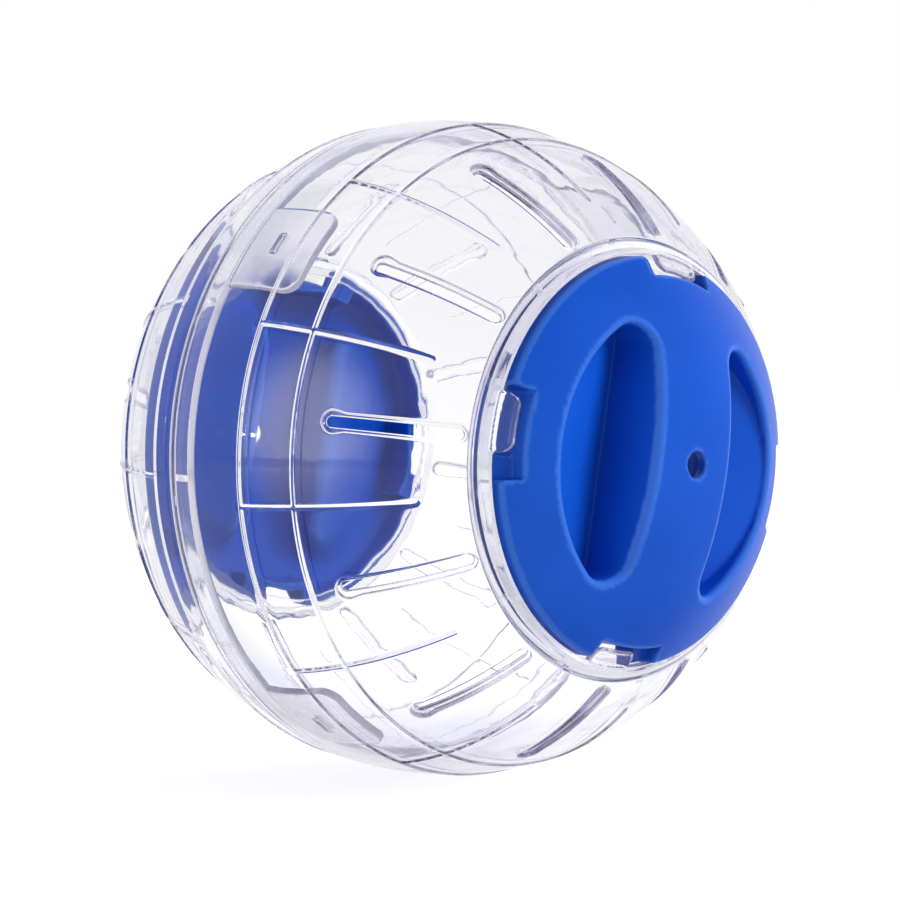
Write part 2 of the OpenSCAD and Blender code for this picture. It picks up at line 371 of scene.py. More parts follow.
def rounded(points, radii, steps=4):
    """An outline with its corners rounded: radii has one number for each point but the first and last."""
    points = [np.array(p, float) for p in points]
    made = []
    for before, corner, after, radius in zip(points, points[1:], points[2:], radii):
        a = (before - corner) / np.linalg.norm(before - corner)
        b = (after - corner) / np.linalg.norm(after - corner)
        half = math.acos(max(-1.0, min(1.0, float(a @ b)))) / 2
        middle = corner + (a + b) / np.linalg.norm(a + b) * radius / math.sin(half)
        start = corner + a * radius / math.tan(half) - middle
        end = corner + b * radius / math.tan(half) - middle
        turn = math.acos(max(-1.0, min(1.0, float(start @ end) / radius**2)))
        for i in range(steps + 1):
            t = i / steps
            way = math.sin((1 - t) * turn) * start + math.sin(t * turn) * end
            made.append(middle + way / math.sin(turn))
    return made


def spread(start, end, spacing):
    """Evenly spaced angles from start up to, and without, end."""
    count = max(1, round(abs(end - start) * BALL_R / spacing))
    return [start + (end - start) * i / count for i in range(count)]


def ridge_rows(middle):
    """Angles across a ridge circle, close enough together for its rounded section."""
    return [middle + o / BALL_R for o in RIDGE_ROWS]


def window_rows():
    """Angles from the pole of the rows that pass the slots, with close ones where the long ribs end."""
    rib_rows = [RIB_TOP + o / BALL_R for o in RIB_ROWS]
    above = spread(WINDOW_TOP, rib_rows[0], WINDOW_SPACING)
    below = spread(rib_rows[-1] + RIB_SPACING / BALL_R, WINDOW_END, WINDOW_SPACING)
    return above + rib_rows + below + [WINDOW_END]


def outer_rows(low, edge):
    """Angles from the pole of the outer surface's rows, and where the slots' rows start among them."""
    top = math.asin(RIM_R / BALL_R) + RIM_CLEAR / BALL_R
    seam = math.acos((edge + SEAM_CLEAR) / BALL_R)
    rows = spread(top, WINDOW_TOP, RIM_SPACING)
    first = len(rows)
    rows += window_rows()
    rows += ridge_rows(RIDGE_HIGH)
    rows += spread(RIDGE_HIGH + RIDGE_HALF / BALL_R, low - RIDGE_CLEAR / BALL_R, OUTER_SPACING)
    rows += ridge_rows(low)
    rows += spread(low + RIDGE_HALF / BALL_R, seam, OUTER_SPACING) + [seam]
    return rows, first


def inner_rows(start_z):
    """Angles from the pole of the inner surface's rows, from seam to collar, and the slots' first row.

    The windows' rows are drawn together a little, so that they end at the collar's foot."""
    start = math.acos(start_z / INNER_R)
    top = math.asin((COLLAR_FOOT_R + FOLLOW_FOOT) / INNER_R)
    share = (WINDOW_END - top) / (WINDOW_END - WINDOW_TOP)
    rows = spread(start, WINDOW_END, INNER_SPACING)
    first = len(rows)
    rows += [WINDOW_END + (angle - WINDOW_END) * share for angle in window_rows()[::-1]]
    rows.append(math.asin((COLLAR_FOOT_R + LAST_FOOT) / INNER_R))
    return rows, first


def column_angles(rho):
    """Angles of the grid's columns on a ring of radius rho."""
    half = SECTOR / 2
    window_edge = WINDOW_HALF / rho
    rib_edge = half - RIB_ZONE / rho
    side = [s / rho for s in WINDOW_COLUMNS]
    side += [window_edge + (rib_edge - window_edge) * f / PLAIN_STEPS for f in range(1, PLAIN_STEPS)]
    side += [half - t / rho for t in RIB_COLUMNS]
    sector = [-a for a in side[::-1]] + [0.0] + side + [half]
    return np.array([a + k * SECTOR for k in range(SLOT_COUNT) for a in sector])


def ridge_share(distance):
    """Share of a ridge's height at that distance from its middle."""
    t = np.clip(1 - distance / RIDGE_HALF, 0, 1)
    return t * t * (3 - 2 * t)


def ridge_height(theta, phi, low):
    """Height of the ridges over the ball: two circles and the long ribs between the slots."""
    across = (SECTOR / 2 - np.abs((phi + SECTOR / 2) % SECTOR - SECTOR / 2)) * BALL_R * math.sin(theta)
    beyond = max(0.0, RIB_TOP + RIDGE_HALF / BALL_R - theta) * BALL_R
    rib = ridge_share(np.hypot(across, beyond)) * (theta < low)
    smooth = 1 - rib
    for circle in (RIDGE_HIGH, low):
        smooth = smooth * (1 - ridge_share(np.abs(theta - circle) * BALL_R))
    return RIDGE_H * (1 - smooth)


def sphere_row(radius, theta, phi):
    """Points of one row on a sphere, whose radius may differ from point to point."""
    flat = radius * math.sin(theta)
    return np.column_stack([flat * np.cos(phi), flat * np.sin(phi), radius * math.cos(theta) + 0 * phi])


def flat_row(rho, z):
    """Points of one row on a ring."""
    phi = column_angles(rho)
    return np.column_stack([rho * np.cos(phi), rho * np.sin(phi), z + 0 * phi])


def slot_radius(q, d):
    """Distance from the slot's middle line to its outer outline, with the round recess at one end."""
    plain = SLOT_W / 2 + SLOT_BEVEL
    ahead = q - (SLOT_CHORD / 2 - SPOON_R)
    under = SPOON_R**2 - (ahead * d[:, 1]) ** 2
    round_end = -ahead * d[:, 0] + np.sqrt(np.maximum(under, 0))
    gap = np.where(under > 0, round_end, 0) - plain
    return plain + 0.5 * (gap + np.sqrt(gap**2 + SPOON_BLEND)) * (gap > -1)


def slot_points(xy, radius):
    """Points over the slot's own plane, at that distance from the ball's centre."""
    along = np.array([math.cos(SLOT_MIDDLE), 0, -math.sin(SLOT_MIDDLE)])
    outwards = np.array([math.sin(SLOT_MIDDLE), 0, math.cos(SLOT_MIDDLE)])
    height = np.sqrt(radius**2 - (xy**2).sum(axis=1))
    return xy[:, :1] * along + xy[:, 1:] * np.array([0, 1, 0]) + height[:, None] * outwards


def slot_plane(points):
    """Where points lie over the slot's own plane."""
    along = np.array([math.cos(SLOT_MIDDLE), 0, -math.sin(SLOT_MIDDLE)])
    return np.column_stack([points @ along, points[:, 1]])


def slot_rings(border_out, border_in):
    """Rings of points from the window in the outer surface through the slot to the inner one."""
    xy_out, xy_in = slot_plane(border_out), slot_plane(border_in)
    middle_half = SLOT_CHORD / 2 - SLOT_W / 2 - SLOT_BEVEL
    q = np.clip(xy_out[:, 0], -middle_half, middle_half)
    foot = np.column_stack([q, 0 * q])
    d = xy_out - foot
    d /= np.linalg.norm(d, axis=1)[:, None]
    wide = slot_radius(q, d)
    narrow = SLOT_W / 2 + 0 * q

    def at(radius, depth):
        return slot_points(foot + d * radius[:, None], BALL_R - depth)

    def on_way(radius, xy, share, ball):
        start = foot + d * radius[:, None]
        return slot_points(start + (xy - start) * share, ball)

    rings = [on_way(wide + SLOT_EDGE, xy_out, share, BALL_R) for share in WINDOW_SHARES[::-1]]
    for angle in (0, math.pi / 6, math.pi / 3, math.pi / 2):
        rings.append(at(wide + SLOT_EDGE * (1 - math.sin(angle)), SLOT_EDGE * (1 - math.cos(angle))))
    rings += [at(wide - inset, depth) for inset, depth in WIDE_SECTION]
    rings += [at(narrow + outset, depth) for outset, depth in NARROW_SECTION]
    rings += [on_way(narrow + SLOT_FILLET, xy_in, share, INNER_R) for share in WINDOW_SHARES]
    return rings


def strip(a, b):
    """Faces between two closed rings of vertex numbers, a outside b as seen from outside."""
    return np.column_stack([a, np.roll(a, -1), np.roll(b, -1), b])


def half_grid(low, edge, seam_profile):
    """Rows of points of a half shell, round its closed section, and the slots' first rows in it."""
    collar_foot = (COLLAR_FOOT_R, math.sqrt(INNER_R**2 - COLLAR_FOOT_R**2))
    rows = []
    outer, first_out = outer_rows(low, edge)
    for theta in outer:
        phi = column_angles(BALL_R * math.sin(theta))
        rows.append(sphere_row(BALL_R + ridge_height(theta, phi, low), theta, phi))
    rows += [flat_row(*p) for p in seam_profile]
    inner, first_in = inner_rows(seam_profile[-1][1] + INNER_START)
    first_in += len(rows)
    for theta in inner:
        phi = column_angles(INNER_R * math.sin(theta))
        rows.append(sphere_row(INNER_R, theta, phi))
    last_inner = (INNER_R * math.sin(inner[-1]), INNER_R * math.cos(inner[-1]))
    first_outer = (BALL_R * math.sin(outer[0]), BALL_R * math.cos(outer[0]))
    corners = [last_inner, collar_foot, (COLLAR_LOW_R, COLLAR_LOW_Z), (SEAT_R, SEAT_BOTTOM)]
    corners += [(SEAT_R, SEAT_TOP), (MOUTH_R, SEAT_TOP), (MOUTH_R, RIM_Z), (RIM_R, RIM_Z), first_outer]
    rows += [flat_row(*p) for p in rounded(corners, MOUTH_ROUNDINGS)]
    return np.array(rows), first_out, first_in


def half_mesh(name, side, turn, low, edge, seam_profile):
    """The wall of a half shell with its ridges, slots, rim, collar and seat, as one closed mesh."""
    grid, first_out, first_in = half_grid(low, edge, seam_profile)
    count, width = grid.shape[:2]
    in_sector = width // SLOT_COUNT
    number = np.arange(count * width).reshape(count, width)
    keep = np.ones((count, width), bool)
    rows = len(window_rows())
    centre = in_sector // 2 - 1
    reach = len(WINDOW_COLUMNS)
    points = [grid.reshape(-1, 3)]
    faces = []
    used = count * width
    for k in range(SLOT_COUNT):
        left, right = k * in_sector + centre - reach, k * in_sector + centre + reach
        keep[first_out:first_out + rows - 1, left:right] = False
        keep[first_in:first_in + rows - 1, left:right] = False
        down = np.arange(rows)
        across = np.arange(left, right + 1)
        path = [(r, left) for r in down[:-1]] + [(rows - 1, c) for c in across[:-1]]
        path += [(r, right) for r in down[:0:-1]] + [(0, c) for c in across[:0:-1]]
        border_out = np.array([number[first_out + r, c] for r, c in path])
        border_in = np.array([number[first_in + rows - 1 - r, c] for r, c in path])
        if k == 0:
            flat = grid.reshape(-1, 3)
            rings = slot_rings(flat[border_out], flat[border_in])
        previous = border_out
        for ring in rings:
            points.append(turned(ring, k * SECTOR))
            new = np.arange(used, used + len(ring))
            used += len(ring)
            faces.append(strip(previous, new))
            previous = new
        faces.append(strip(previous, border_in))
    across = np.roll(number, -1, axis=1)
    below = np.roll(number, -1, axis=0)
    corner = np.roll(below, -1, axis=1)
    faces.append(np.stack([number, below, corner, across], axis=-1)[keep])
    faces = np.concatenate(faces)
    points = np.concatenate(points)
    shown = np.unique(faces)
    renumber = np.zeros(len(points), int)
    renumber[shown] = np.arange(len(shown))
    return mesh_object(name, to_row(side, turned(points[shown], turn)), renumber[faces].tolist())


def plate(width, length, thick, corner, edge, cuts_x, cuts_y):
    """Points and faces of a flat plate with two rounded corners and rounded edges, cut up for bending.

    Its width lies along X about 0, its length from 0 along Y and its thickness from 0 along Z."""
    bm = bmesh.new()
    bmesh.ops.create_cube(bm, size=1)
    for v in bm.verts:
        v.co = Vector((v.co.x * width, (v.co.y + 0.5) * length, (v.co.z + 0.5) * thick))
    ends = [e for e in bm.edges if all(v.co.y > length / 2 for v in e.verts)]
    ends = [e for e in ends if e.verts[0].co.x == e.verts[1].co.x]
    bmesh.ops.bevel(bm, geom=ends, offset=corner, segments=CORNER_SEGMENTS, profile=0.5, affect="EDGES")
    bm.normal_update()
    rims = [e for e in bm.edges if sorted(abs(f.normal.z) > LEVEL for f in e.link_faces) == [False, True]]
    rims = [e for e in rims if any(v.co.y > ROOT_TOUCH for v in e.verts)]
    bmesh.ops.bevel(bm, geom=rims, offset=edge, segments=EDGE_SEGMENTS, profile=0.5, affect="EDGES")
    for axis, cuts in ((0, cuts_x), (1, cuts_y)):
        for cut in cuts:
            at = Vector((0, 0, 0))
            at[axis] = cut
            normal = Vector((0, 0, 0))
            normal[axis] = 1
            everything = list(bm.verts) + list(bm.edges) + list(bm.faces)
            bmesh.ops.bisect_plane(bm, geom=everything, plane_co=at, plane_no=normal, dist=CUT_TOUCH)
    bm.verts.index_update()
    points = np.array([v.co for v in bm.verts])
    faces = [[v.index for v in f.verts] for f in bm.faces]
    bm.free()
    return points, faces


def lugs(side, turn):
    """The lugs that reach in over the lid, each a bent plate rooted in the rim."""
    length = LUG_ROOT_R + LUG_EMBED - MOUTH_R + LUG_REACH - LUG_SHORT
    made = plate(LUG_W, length, LUG_T, LUG_CORNER, LUG_EDGE, LUG_CUTS_ACROSS, LUG_CUTS_ALONG)
    u, v, w = made[0].T
    rho = LUG_ROOT_R + LUG_EMBED - v
    angle = u / MOUTH_R
    z = LUG_TOP_Z + (LUG_ROOT_R - rho) * LUG_SLOPE - LUG_T + w
    points = np.column_stack([rho * np.cos(angle), rho * np.sin(angle), z])
    for k in range(LUG_COUNT):
        at = turned(points, turn + LUG_TURN + k * 2 * math.pi / LUG_COUNT)
        yield mesh_object("lug", to_row(side, at), made[1])


def tongues(side):
    """The snap tongues, each a plate bent to the inside of the front wall, with a nib near its root."""
    root = SPIGOT_LEN / 2 - SEAM_BACK
    nib_at = NIB_FROM_MIDDLE - root
    length = TONGUE_LEN - root
    cuts = sorted([*np.arange(TONGUE_CUT_START, length, TONGUE_CUT_STEP), *(nib_at + o for o in NIB_CUTS)])
    made = plate(TONGUE_W, length, TONGUE_T, TONGUE_CORNER, TONGUE_EDGE, TONGUE_CUTS_ACROSS, cuts)
    u, v, w = made[0].T
    nib = np.clip(1 - ((v - nib_at) / NIB_HALF_W) ** 2, 0, 1) * (np.abs(u) < NIB_LEN / 2)
    radius = TONGUE_R - TONGUE_T + w + NIB_H * nib * (w > NIB_SIDE)
    z = -(root + v)
    points = np.column_stack([np.sqrt(radius**2 - u**2 - z**2), u, z])
    for k in range(TONGUE_COUNT):
        at = turned(points, TONGUE_TURN + k * 2 * math.pi / TONGUE_COUNT)
        yield mesh_object("tongue", to_row(side, at), flipped(made[1]))


def catches(side):
    """What is cut from the front wall for the tongues' nibs."""
    length = NIB_LEN + 2 * CATCH_SPARE
    height = TONGUE_T + 2 * CATCH_SPARE
    made = plate(length, WALL + CATCH_DEPTH, height, CATCH_CORNER, CATCH_EDGE, CATCH_CUTS, ())
    u, v, w = made[0].T
    x = math.sqrt(INNER_R**2 - NIB_FROM_MIDDLE**2) - WALL + v
    points = np.column_stack([x, u, NIB_FROM_MIDDLE - height / 2 + w])
    for k in range(TONGUE_COUNT):
        at = turned(points, -TONGUE_TURN + k * 2 * math.pi / TONGUE_COUNT)
        yield mesh_object("catch", to_row(side, at), flipped(made[1]))


def flipped(faces):
    """Faces that look the other way."""
    return [f[::-1] for f in faces]


def on_ball(radius, z):
    """The place on a sphere's outline at that height."""
    return math.sqrt(radius**2 - z**2), z


def front_seam():
    """The front half's edge at the seam, from outside to inside."""
    corners = [on_ball(BALL_R, FRONT_EDGE + SEAM_LEAD), on_ball(BALL_R, FRONT_EDGE)]
    corners += [on_ball(INNER_R, FRONT_EDGE), on_ball(INNER_R, FRONT_EDGE + FRONT_INNER_LEAD)]
    return rounded(corners, FRONT_ROUNDINGS)


def rear_seam():
    """The rear half's edge at the seam, and the spigot with its bore back to the half's round inside."""
    corners = [on_ball(BALL_R, REAR_EDGE + SEAM_LEAD), on_ball(BALL_R, REAR_EDGE), (SPIGOT_R, REAR_EDGE)]
    corners += [(SPIGOT_R, SPIGOT_TIP), (SPIGOT_IN_R, SPIGOT_TIP), (SPIGOT_IN_R, SPIGOT_FOOT)]
    corners += [on_ball(INNER_R, SPIGOT_FOOT + SPIGOT_LEAD)]
    return rounded(corners, REAR_ROUNDINGS)


def front_half():
    """The front half shell, with its lugs and the recesses for the nibs."""
    shell = half_mesh("front_half_shell", 1, FRONT_TURN, RIDGE_LOW_FRONT, FRONT_EDGE, front_seam())
    combine(shell, lugs(1, FRONT_TURN), "UNION")
    combine(shell, catches(1), "DIFFERENCE")
    return shell


def rear_half():
    """The rear half shell, with its lugs and snap tongues."""
    shell = half_mesh("rear_half_shell", -1, REAR_TURN, RIDGE_LOW_REAR, REAR_EDGE, rear_seam())
    combine(shell, lugs(-1, REAR_TURN), "UNION")
    combine(shell, tongues(-1), "UNION")
    return shell


# Lids, each the zero surface of a field that is negative inside the plastic


def both(a, b, radius):
    """Field of what lies in both shapes, with the edge between them rounded."""
    reach = np.hypot(np.maximum(a + radius, 0), np.maximum(b + radius, 0))
    return np.minimum(np.maximum(a, b), -radius) + reach


def pocket_field(x, y, z, grow, fillet):
    """A finger pocket on the +Y side of the bar, grown by a wall: outline in plan and sloping floor."""
    disc_r = POCKET_R - POCKET_CORNER
    near_y = BAR_HALF + POCKET_CORNER
    corner_x = math.sqrt(disc_r**2 - near_y**2)
    rho = np.hypot(x, y)
    to_arc = rho - disc_r
    to_line = near_y - y
    to_corner = np.hypot(np.abs(x) - corner_x, y - near_y)
    outside = (np.abs(x) > corner_x) & (disc_r * y < near_y * rho)
    plan = np.where(outside, to_corner, np.maximum(to_arc, to_line)) - POCKET_CORNER
    plan = plan + (DOME_R - z) * POCKET_DRAFT - grow
    edge_z = math.sqrt(DOME_R**2 - POCKET_R**2) - POCKET_LIP
    slope = math.atan((edge_z - CREASE_Z) / (POCKET_R - BAR_HALF))
    floor = -((z - CREASE_Z) * math.cos(slope) - (y - BAR_HALF) * math.sin(slope)) - grow
    return both(plan, floor, fillet)


def lid_field(points):
    """The lid's field at points, in millimetres with the pole along +Z."""
    x, y, z = points.T
    rho = np.hypot(x, y)
    r = np.hypot(rho, z)
    side = np.where(y < 0, -1.0, 1.0)
    quarter = math.pi / 2
    angle = (np.arctan2(y, x) + quarter / 2) % quarter - quarter / 2
    body = both(both(r - DOME_R, rho - LID_R, DOME_ROUND), LID_FOOT - z, FOOT_ROUND)
    hollow = both(r - DOME_IN_R, rho - SKIRT_IN_R, HOLLOW_ROUND)
    wall = np.maximum(rho * (np.abs(angle) - NOTCH_HALF - NOTCH_SIDE), NICHE_IN_R - rho)
    hollow = both(hollow, -wall, NICHE_WALL_ROUND)
    back = pocket_field(x * side, y * side, z, LID_WALL, POCKET_BACK_ROUND)
    lid = both(body, -both(hollow, -back, POCKET_BACK_BLEND), HOLLOW_EDGE)
    lid = both(lid, -pocket_field(x * side, y * side, z, 0, POCKET_FLOOR_ROUND), POCKET_EDGE)
    deep_end = LEDGE_START - NOTCH_END + NOTCH_HALF
    deep = rho * (np.abs(angle - (deep_end - NOTCH_HALF) / 2) - (deep_end + NOTCH_HALF) / 2)
    deep = both(deep, NICHE_R - rho, NOTCH_ROUND)
    ledge_z = LUG_TOP_Z + (LUG_ROOT_R - rho) * LUG_SLOPE - LUG_T - LUG_GAP
    shallow = both(rho * (np.abs(angle) - NOTCH_HALF), NICHE_R - rho, NOTCH_ROUND)
    shallow = both(shallow, (ledge_z - z) / math.hypot(1, LUG_SLOPE), LEDGE_ROUND)
    lid = both(lid, -np.minimum(deep, shallow), NOTCH_ROUND)
    return both(lid, PIN_R - rho, PIN_ROUND)


def gradient(field, points, step=0.02):
    """How fast field grows at points along each axis."""
    shifts = np.eye(3) * step
    return np.column_stack([field(points + s) - field(points - s) for s in shifts]) / (2 * step)


def crossings(value, inside, shape):
    """Where the surface crosses each cell's edges: the sum of those places, in cells, and their count."""
    total = np.zeros(shape + (3,))
    number = np.zeros(shape)
    for axis in range(3):
        others = [a for a in range(3) if a != axis]
        for du in (0, 1):
            for dv in (0, 1):
                start = [slice(0, n) for n in shape]
                start[others[0]] = slice(du, du + shape[others[0]])
                start[others[1]] = slice(dv, dv + shape[others[1]])
                end = list(start)
                end[axis] = slice(1, 1 + shape[axis])
                a, b = value[tuple(start)], value[tuple(end)]
                cross = inside[tuple(start)] != inside[tuple(end)]
                place = np.zeros(shape + (3,))
                place[..., axis] = a / np.where(cross, a - b, 1)
                place[..., others[0]] = du
                place[..., others[1]] = dv
                total += place * cross[..., None]
                number += cross
    return total, number


def field_mesh(field, low, high, cell):
    """Points, faces and normals of the closed surface on which field is zero."""
    low, high = np.array(low, float), np.array(high, float)
    count = np.ceil((high - low) / cell).astype(int) + 1
    axes = [low[a] + cell * np.arange(count[a]) for a in range(3)]
    value = field(np.stack(np.meshgrid(*axes, indexing="ij"), axis=-1).reshape(-1, 3)).reshape(count)
    inside = value < 0
    shape = tuple(count - 1)
    total, number = crossings(value, inside, shape)
    crossed = number > 0
    index = np.full(shape, -1)
    index[crossed] = np.arange(crossed.sum())
    base = np.argwhere(crossed)
    points = low + cell * (base + total[crossed] / number[crossed][:, None])
    for _ in range(REFINEMENTS):
        slope = gradient(field, points)
        step = field(points)[:, None] * slope / np.maximum((slope**2).sum(axis=1), LEAST_SLOPE)[:, None]
        points = points - np.clip(step, -cell / 3, cell / 3)
    faces = []
    for axis in range(3):
        u, v = (axis + 1) % 3, (axis + 2) % 3
        ahead = np.take(inside, range(1, count[axis]), axis)
        behind = np.take(inside, range(count[axis] - 1), axis)
        edges = np.argwhere(behind != ahead)
        out = behind[tuple(edges.T)]
        corners = []
        for du, dv in ((-1, -1), (0, -1), (0, 0), (-1, 0)):
            at = edges.copy()
            at[:, u] += du
            at[:, v] += dv
            corners.append(index[tuple(at.T)])
        quad = np.column_stack(corners)
        faces.append(np.where(out[:, None], quad, quad[:, ::-1]))
    slope = gradient(field, points)
    normals = slope / np.linalg.norm(slope, axis=1)[:, None]
    return points, np.concatenate(faces), normals


def bend(field, points, step=0.3):
    """How strongly the surface bulges at points: the spread of its normals, in turns per millimetre."""
    total = 0
    for shift in np.eye(3) * step:
        for sign in (1, -1):
            slope = gradient(field, points + sign * shift)
            steepness = np.maximum(np.linalg.norm(slope, axis=1), LEAST_SLOPE)
            total = total + sign * (slope @ shift) / step / steepness
    return total / (2 * step)


def lids():
    """Both lids, from one surface: the front one and the rear one."""
    reach = LID_R + SIDE_CELLS * LID_CELL
    low = (-reach, -reach, LID_FOOT - FOOT_CELLS * LID_CELL)
    high = (reach, reach, DOME_R + TOP_CELLS * LID_CELL)
    points, faces, normals = field_mesh(lid_field, low, high, LID_CELL)
    # Painted highlight: a share of lighter blue on convex edges, growing with how strongly the surface
    # bends
    painted_edge_highlight = np.clip((bend(lid_field, points) - PAINTED_HIGHLIGHT_FROM) / PAINTED_HIGHLIGHT_SPAN, 0, PAINTED_HIGHLIGHT_MOST)
    made = []
    for name, side, turn in (("front_cap_lid", 1, FRONT_TURN), ("rear_cap_lid", -1, REAR_TURN)):
        lid = mesh_object(name, to_row(side, turned(points, turn + LID_TURN)), faces.tolist())
        lid.data.attributes.new("painted_edge_highlight", "FLOAT", "POINT").data.foreach_set("value", painted_edge_highlight)
        shaded = to_row(side, turned(normals, turn + LID_TURN)) / MM
        lid.data.normals_split_custom_set_from_vertices(shaded.tolist())
        made.append(lid)
    return made


# Materials


def new_material(name):
    """A material with a Principled shader, and a function that adds a node and sets its inputs."""
    material = bpy.data.materials.new(name)
    material.use_nodes = True
    nodes = material.node_tree.nodes

    def add(kind, **inputs):
        node = nodes.new(kind)
        for key, value in inputs.items():
            node.inputs[key.replace("_", " ")].default_value = value
        return node

    return material, nodes["Principled BSDF"], add


def ramp(node, *stops):
    """Sets a colour ramp's stops, each a place and a colour."""
    band = node.color_ramp
    while len(band.elements) < len(stops):
        band.elements.new(0.5)
    for element, (place, colour) in zip(band.elements, stops):
        element.position = place
        element.color = (*colour, 1)


def feed(tree, socket, value):
    """Links an output to a socket, or sets the socket to a constant."""
    if isinstance(value, bpy.types.NodeSocket):
        tree.links.new(value, socket)
    else:
        socket.default_value = value


def math_node(tree, operation, first, second):
    """A math node's output, from two outputs or numbers."""
    node = tree.nodes.new("ShaderNodeMath")
    node.operation = operation
    feed(tree, node.inputs[0], first)
    feed(tree, node.inputs[1], second)
    return node.outputs[0]


def mixed(tree, factor, first, second, blend="MIX"):
    """A colour mix node's output, from outputs or constants."""
    node = tree.nodes.new("ShaderNodeMix")
    node.data_type = "RGBA"
    node.blend_type = blend
    feed(tree, node.inputs[MIX_FACTOR], factor)
    feed(tree, node.inputs[MIX_A], first)
    feed(tree, node.inputs[MIX_B], second)
    return node.outputs[MIX_RESULT]


def masks(tree, place):
    """Three outputs: on the snap tongues, along the seam and the spigot's tip, and under the seat."""
    apart = tree.nodes.new("ShaderNodeSeparateXYZ")
    tree.links.new(place, apart.inputs[0])
    size = tree.nodes.new("ShaderNodeVectorMath")
    size.operation = "LENGTH"
    tree.links.new(place, size.inputs[0])
    height = math_node(tree, "ABSOLUTE", apart.outputs["X"], 0)
    inside = math_node(tree, "LESS_THAN", size.outputs["Value"], SPIGOT_MASK_R * MM)
    snap = math_node(tree, "LESS_THAN", height, TONGUE_MASK_END * MM)
    ahead = math_node(tree, "GREATER_THAN", apart.outputs["X"], -SPIGOT_TIP * MM)
    snap = math_node(tree, "MULTIPLY", snap, math_node(tree, "MULTIPLY", inside, ahead))
    lines = []
    for x, half in ((-SEAM_BACK, SEAM_LINE_HALF), (-SPIGOT_TIP, TIP_LINE_HALF)):
        away = math_node(tree, "ABSOLUTE", math_node(tree, "SUBTRACT", apart.outputs["X"], x * MM), 0)
        lines.append(math_node(tree, "LESS_THAN", away, half * MM))
    skin = math_node(tree, "GREATER_THAN", size.outputs["Value"], SKIN_MASK_R * MM)
    outer = math_node(tree, "MULTIPLY", lines[0], skin)
    line = math_node(tree, "MAXIMUM", outer, math_node(tree, "MULTIPLY", lines[1], inside))
    below = math_node(tree, "LESS_THAN", height, SEAT_MASK_HIGH * MM)
    above = math_node(tree, "GREATER_THAN", height, SEAT_MASK_LOW * MM)
    away = math_node(tree, "LESS_THAN", size.outputs["Value"], SEAT_MASK_R * MM)
    return snap, line, math_node(tree, "MULTIPLY", math_node(tree, "MULTIPLY", below, above), away)


def clear_plastic():
    """Clear polished plastic: lilac in depth, milky on the tongues and frosted at seams."""
    material, shader, add = new_material("clear_plastic")
    tree = material.node_tree
    link = tree.links.new
    shader.inputs["Transmission Weight"].default_value = 1.0
    shader.inputs["IOR"].default_value = CLEAR_IOR
    place = add("ShaderNodeTexCoord").outputs["Object"]
    snap, line, seat = masks(tree, place)
    edge = add("ShaderNodeLayerWeight", Blend=0.5)
    tint = add("ShaderNodeValToRGB")
    ramp(tint, *CLEAR_TINT)
    link(edge.outputs["Facing"], tint.inputs["Fac"])
    flow = add("ShaderNodeTexNoise", Scale=130.0, Detail=3.0, Distortion=0.6)
    link(place, flow.inputs["Vector"])
    milk = add("ShaderNodeValToRGB")
    ramp(milk, *MILK_TINT)
    link(flow.outputs["Fac"], milk.inputs["Fac"])
    shown = mixed(tree, snap, tint.outputs["Color"], milk.outputs["Color"], "MULTIPLY")
    link(shown, shader.inputs["Base Color"])
    wear = add("ShaderNodeTexNoise", Scale=90.0, Detail=3.0)
    link(place, wear.inputs["Vector"])
    level = add("ShaderNodeMapRange", To_Min=0.01, To_Max=0.05)
    link(wear.outputs["Fac"], level.inputs["Value"])
    rough = math_node(tree, "MULTIPLY", snap, TONGUE_FROST)
    rough = math_node(tree, "ADD", rough, math_node(tree, "MULTIPLY", line, LINE_FROST))
    rough = math_node(tree, "ADD", rough, math_node(tree, "MULTIPLY", seat, SEAT_FROST))
    link(math_node(tree, "ADD", level.outputs["Result"], rough), shader.inputs["Roughness"])
    wave = add("ShaderNodeTexNoise", Scale=40.0, Detail=3.0)
    link(place, wave.inputs["Vector"])
    bump = add("ShaderNodeBump", Strength=0.22, Distance=0.001)
    link(wave.outputs["Fac"], bump.inputs["Height"])
    link(bump.outputs["Normal"], shader.inputs["Normal"])
    path = add("ShaderNodeLightPath")
    open_way = add("ShaderNodeBsdfTransparent", Color=SHADOW_TINT)
    mix = add("ShaderNodeMixShader")
    link(path.outputs["Is Shadow Ray"], mix.inputs["Fac"])
    link(shader.outputs["BSDF"], mix.inputs[1])
    link(open_way.outputs["BSDF"], mix.inputs[2])
    body = add("ShaderNodeVolumeAbsorption", Color=DEPTH_TINT, Density=20.0)
    output = tree.nodes["Material Output"]
    link(mix.outputs["Shader"], output.inputs["Surface"])
    link(body.outputs["Volume"], output.inputs["Volume"])
    return material


